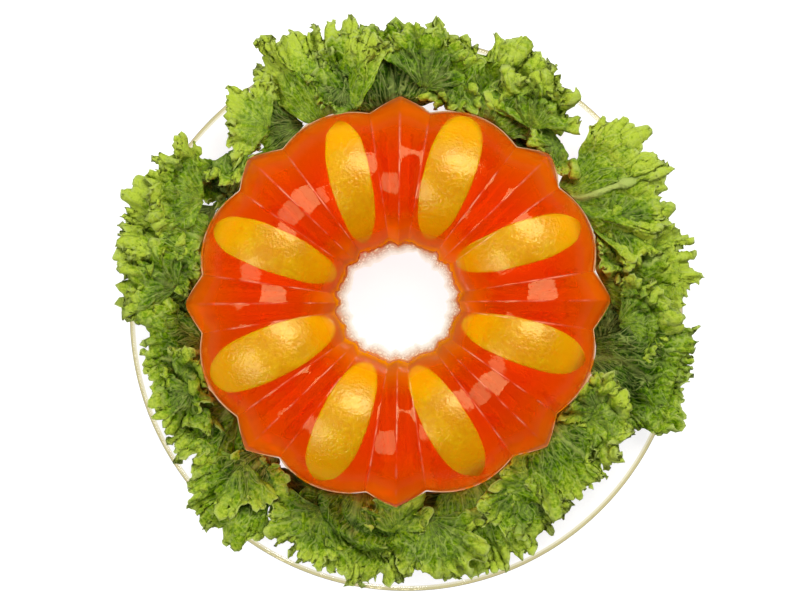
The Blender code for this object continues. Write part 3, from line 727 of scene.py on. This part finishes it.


# fresh curly lettuce: waxy sheen, pale veins, light that comes through, and thin pale outer edges that are
# partly the leaf's paler margin and partly a painted highlight
def makeLettuceMaterial():
    material, tree = newMaterial("curly_lettuce_leaf")
    sheet = addNode(tree, "ShaderNodeUVMap", uv_map="leafSheet")
    where = addNode(tree, "ShaderNodeTexCoord").outputs["Object"]
    edge, paleEdgeAndHighlight, vein, tone = [addNode(tree, "ShaderNodeAttribute", attribute_name=name).outputs["Fac"]
                             for name in ("edge", "paleEdgeAndHighlight", "vein", "tone")]
    mottle = addNode(tree, "ShaderNodeTexNoise", {"Vector": where}, Scale=1 / (8 * mm), Detail=4,
                     Roughness=0.6)
    lean = addNode(tree, "ShaderNodeMapping", {"Vector": sheet}, Scale=(0.42, 1, 1))  # veins run lengthways
    sway = addNode(tree, "ShaderNodeTexNoise", {"Vector": sheet}, Scale=1 / (9 * mm), Detail=2)
    sway = addNode(tree, "ShaderNodeVectorMath", {0: sway.outputs["Color"]}, operation="SCALE", Scale=4 * mm)
    lean = addNode(tree, "ShaderNodeVectorMath", {0: lean, 1: sway}, operation="ADD")
    lines = []
    for spacing, width in ((8.5 * mm, 0.05), (3.2 * mm, 0.12)):  # main veins and the finer net between them
        net = addNode(tree, "ShaderNodeTexVoronoi", {"Vector": lean}, feature="DISTANCE_TO_EDGE",
                      Scale=1 / spacing)
        lines.append(addNode(tree, "ShaderNodeMapRange", {0: net}, interpolation_type="SMOOTHSTEP",
                             From_Max=width, To_Min=1, To_Max=0))
    spread = addNode(tree, "ShaderNodeMath", {0: mottle, 1: tone}, operation="ADD")
    spread = addNode(tree, "ShaderNodeMath", {0: edge, 1: 0.6, 2: spread}, operation="MULTIPLY_ADD")
    ripple = addNode(tree, "ShaderNodeTexNoise", {"Vector": where}, Scale=1 / (1.8 * mm), Detail=4,
                     Roughness=0.65)
    spread = addNode(tree, "ShaderNodeMath", {0: ripple, 1: 1.6, 2: spread}, operation="MULTIPLY_ADD")
    spread = addNode(tree, "ShaderNodeMapRange", {0: spread}, From_Min=1.5, From_Max=2.5)
    blade = colourSteps(tree, spread, lettuce["blade"])
    main, fine = [addNode(tree, "ShaderNodeMath", {0: line, 1: pale}, operation="MULTIPLY")
                  for line, pale in zip(lines, lettuce["veinPale"])]
    veined = fine
    # the thin pale line along the outer edge is partly a painted highlight
    for other in (main, vein, paleEdgeAndHighlight):
        veined = addNode(tree, "ShaderNodeMath", {0: veined, 1: other}, operation="MAXIMUM", use_clamp=True)
    mix = addNode(tree, "ShaderNodeMix", {0: veined, 6: blade, 7: linearColour(lettuce["veins"])},
                  data_type="RGBA")
    colour = mix.outputs[2]
    dents = addNode(tree, "ShaderNodeBump", {"Height": lines[0]}, Strength=0.4, Distance=-0.3 * mm)
    bump = addNode(tree, "ShaderNodeBump", {"Height": ripple, "Normal": dents}, Strength=1, Distance=1.1 * mm)
    blade = addNode(tree, "ShaderNodeBsdfPrincipled", {"Base Color": colour, "Normal": bump}, Roughness=0.42,
                    IOR=lettuce["ior"], Specular_IOR_Level=0.28, Specular_Tint=linearColour(lettuce["sheen"]))
    through = addNode(tree, "ShaderNodeBsdfTranslucent", {"Color": colour, "Normal": bump})
    leaf = addNode(tree, "ShaderNodeMixShader", {0: lettuce["through"], 1: blade, 2: through})
    addNode(tree, "ShaderNodeOutputMaterial", {"Surface": leaf})
    return material


def unit(vectors):
    return vectors / np.maximum(np.linalg.norm(vectors, axis=-1, keepdims=True), 1e-12)


def sheetNormals(points):
    return unit(np.cross(np.gradient(points, axis=0), np.gradient(points, axis=1)))


def leafEdge(arc, seed):  # mm that the outer edge stands out or in, arc mm along it
    def swing(step, number):
        return smoothNoise(arc / step, 0 * arc, seed + number)

    (cleftStep, cleftDepth), (toothStep, toothDepth) = lettuce["clefts"], lettuce["teeth"]
    smallStep, smallDepth = lettuce["smallTeeth"]
    cleft = 1 - np.abs(np.sin(np.pi * (arc / cleftStep + 0.6 * swing(13, 4) + seed * 0.3))) ** 0.5
    tooth = 1 - np.abs(np.sin(np.pi * (arc / toothStep + 0.8 * swing(11, 5))))  # sharp tips, round hollows
    small = 1 - np.abs(np.sin(np.pi * (arc / smallStep + 0.6 * swing(6, 6))))
    teeth = toothDepth * tooth * (0.65 + 0.5 * swing(9, 7)) + smallDepth * small
    return teeth - cleftDepth * cleft * (1 + 0.6 * swing(21, 8))


radian = 57.3  # in degrees


# a fan-shaped leaf, its stalk at the origin
def leafSheet(length, halfSpread, start, ruffles, ruffle, rib, seed, rows, columns):
    along = start + (1 - start) * (1 - (1 - np.linspace(0, 1, rows)) ** 1.5)[:, None]
    across = np.linspace(-1, 1, columns)[None, :]
    angle = across * math.radians(halfSpread) * (0.78 + 0.22 * along ** 0.7)
    arc = across * halfSpread / radian * length / mm  # mm along the outer edge
    uneven = smoothNoise(across * 3.1 + seed * 3, 0.5 + 0 * across, seed)
    outline = 1 - 0.14 * np.abs(across) ** 3 + 0.06 * uneven
    reach = length * outline * along + mm * leafEdge(arc, seed) * ease(along, 0.66, 1) ** 1.5
    points = np.stack([reach * np.cos(angle), reach * np.sin(angle), 0 * reach], -1)
    flatX, flatY = points[..., 0] / mm, points[..., 1] / mm
    (swellHeight, swellLength), (sway, swayLength) = lettuce["swell"], lettuce["sway"]
    points[..., 2] += (length * lettuce["arch"] * np.sin(np.pi * along ** 0.8)
                       + swellHeight * smoothNoise(flatX / swellLength + seed, flatY / swellLength, seed + 1))
    bendX, bendY = [sway * smoothNoise(flatX / swayLength + seed, flatY / swayLength, seed + n)
                    for n in (11, 12)]
    cell = lettuce["veinCell"] / mm
    cells = np.clip(cellBumps((flatX + bendX) / cell + seed, (flatY + bendY) / cell, seed + 2), 0, 1)
    fan = across * lettuce["veinFan"] + 0.7 * smoothNoise(flatX / 9, flatY / 9, seed + 3)
    # veins from the stalk
    ray = np.exp(-((fan - np.round(fan)) * reach / mm / (0.5 * lettuce["veinFan"])) ** 2 * 1.2)
    offMiddle = flatY + 2.5 * smoothNoise(flatX / 15, 0 * flatX, seed + 13)
    middle = np.exp(-(offMiddle / (0.5 + 1.5 * (1 - along))) ** 2) * (1 - ease(along, 0.7, 1))
    rays = 0.3 * ray * ease(along, 0.12, 0.45) * (1 - ease(along, 0.75, 1))
    vein = np.clip(np.maximum(0.9 * middle * min(1, rib * 2), rays) + 0.12 * ease(cells, 0.6, 0.85), 0, 1)
    points[..., 2] += (lettuce["pucker"] * (0.6 - cells ** 2 * 1.6) * ease(along, 0.1, 0.4)
                       + lettuce["ribHeight"] * middle * rib)
    for order, (wave, height, begin) in enumerate(ruffles):
        swing = smoothNoise(arc / (wave * 1.7) + seed, along * 2.2, seed + 20 + order) * 1.1
        size = 0.75 + 0.5 * smoothNoise(arc / (wave * 2.3) + 9, along * 1.5, seed + 30 + order)
        size = height * mm * ruffle * size * ease(along, begin, 1.0)
        phase = 2 * np.pi * (arc / wave + swing + seed * 0.37)
        normals = sheetNormals(points)
        edgeways = unit(np.cross(normals, np.gradient(points, axis=0)))
        lifted, curled = size * np.sin(phase), 0.4 * size * np.sin(2 * phase)
        points = points + normals * lifted[..., None] + edgeways * curled[..., None]
    wide = 0 * across
    # the third value is the thin pale line along the outer edge: partly the leaf's paler margin, partly a
    # painted highlight
    return points, ease(along, 0.6, 1.0) + wide, 0.85 * ease(along, 0.97, 1.0) + wide, vein


def leafWall(points):  # how far from the ring's middle its wall stands beside each point
    angle = np.arctan2(points[..., 1] - ringY, points[..., 0] - ringX)
    height = np.clip(points[..., 2] - wellZ, 0, crownZ)
    low = jelly["outerFoot"] + (wallR - jelly["outerFoot"]) * height / wallZ
    over = np.clip((height - wallZ) / (crownZ - wallZ), 0, 1)
    high = crownR + (wallR - crownR) * np.sqrt(1 - over ** 2)
    return np.where(height < wallZ, low, high) + fluteHeight(angle, 0.1) * (1 - over)


def layDown(points):  # keeps a leaf off the glass, the table and the ring
    fromPlate = np.hypot(points[..., 0], points[..., 1])
    overRim = lettuce["rimLift"] * ease(fromPlate, lettuce["rimReach"], plateRadius)
    bed = np.where(fromPlate < plateRadius, plateTop(np.minimum(fromPlate, plateRadius)), overRim)
    bed = bed + lettuce["overGlass"]
    points[..., 2] = bed + 1.5 * mm * np.logaddexp(0, (points[..., 2] - bed) / (1.5 * mm))
    away = points[..., :2] - (ringX, ringY)
    distance = np.linalg.norm(away, axis=-1)
    clear = leafWall(points) + lettuce["offRing"]
    pushed = clear + 1.2 * mm * np.logaddexp(0, (distance - clear) / (1.2 * mm))
    points[..., :2] = (ringX, ringY) + away * (pushed / distance)[..., None]
    return points


def makeLeaf(name, leaf, size, seed, material, replaced):
    placed, radius, turned, length, halfSpread, lift, tilt, ruffle, rib, tone = leaf
    rows, columns = size["rows"], size["columns"]
    sheet, edge, paleEdgeAndHighlight, vein = leafSheet(length * mm, halfSpread, size["start"], size["ruffles"], ruffle, rib,
                                       seed, rows, columns)
    turn = Matrix.Rotation(math.radians(placed + turned), 4, "Z")
    turn = turn @ Matrix.Rotation(math.radians(-tilt), 4, "Y")
    turn = turn @ Matrix.Rotation(math.radians(9 * math.sin(seed * 2.3)), 4, "X")
    angle = math.radians(placed)
    place = np.array([ringX + radius * mm * math.cos(angle), ringY + radius * mm * math.sin(angle),
                      wellZ + lift * mm])
    points = sagged(layDown(sheet @ np.array(turn)[:3, :3].T + place))
    normals = sheetNormals(points) * lettuce["thickness"] / 2
    both = np.stack([points + normals, points - normals])
    count = rows * columns
    top = gridFaces(rows, columns)
    border = np.concatenate([np.arange(columns), np.arange(1, rows) * columns + columns - 1,
                             (rows - 1) * columns + np.arange(columns - 2, -1, -1),
                             np.arange(rows - 2, 0, -1) * columns])
    nextOne = np.roll(border, -1)
    side = np.stack([border, nextOne, nextOne + count, border + count], -1)
    faces = np.concatenate([top[:, ::-1], top + count, side])
    piece = makePiece(name, both.reshape(-1, 3), faces, material, replaced)
    mesh = piece.data
    for label, values in (("edge", edge), ("paleEdgeAndHighlight", paleEdgeAndHighlight), ("vein", vein), ("tone", np.full(edge.shape, tone))):
        storeValues(piece, label, [values, values])  # on both faces of the sheet
    upwards = np.linspace(0, length, rows)[:, None]
    sideways = np.linspace(-1, 1, columns) * length * halfSpread / radian
    spots = np.stack(np.broadcast_arrays(upwards, sideways), -1)
    spots = np.tile(spots.reshape(-1, 2) * mm + seed, (2, 1))
    corners = np.empty(len(mesh.loops), np.int32)
    mesh.loops.foreach_get("vertex_index", corners)
    mesh.uv_layers.new(name="leafSheet").data.foreach_set("uv", spots[corners].astype(np.float32).ravel())


def makeLettuce():
    material = makeLettuceMaterial()
    for kind, seed in (("big", 1), ("small", 31)):
        for index, leaf in enumerate(lettuce[kind]["leaves"]):
            replaced = [f"lettuce_leaf_{index + 1:02d}"] if kind == "big" else []
            makeLeaf(f"{kind}_leaf_{index + 1}", leaf, lettuce[kind], index + seed, material, replaced)


makeLettuce()
print("lettuce ready")
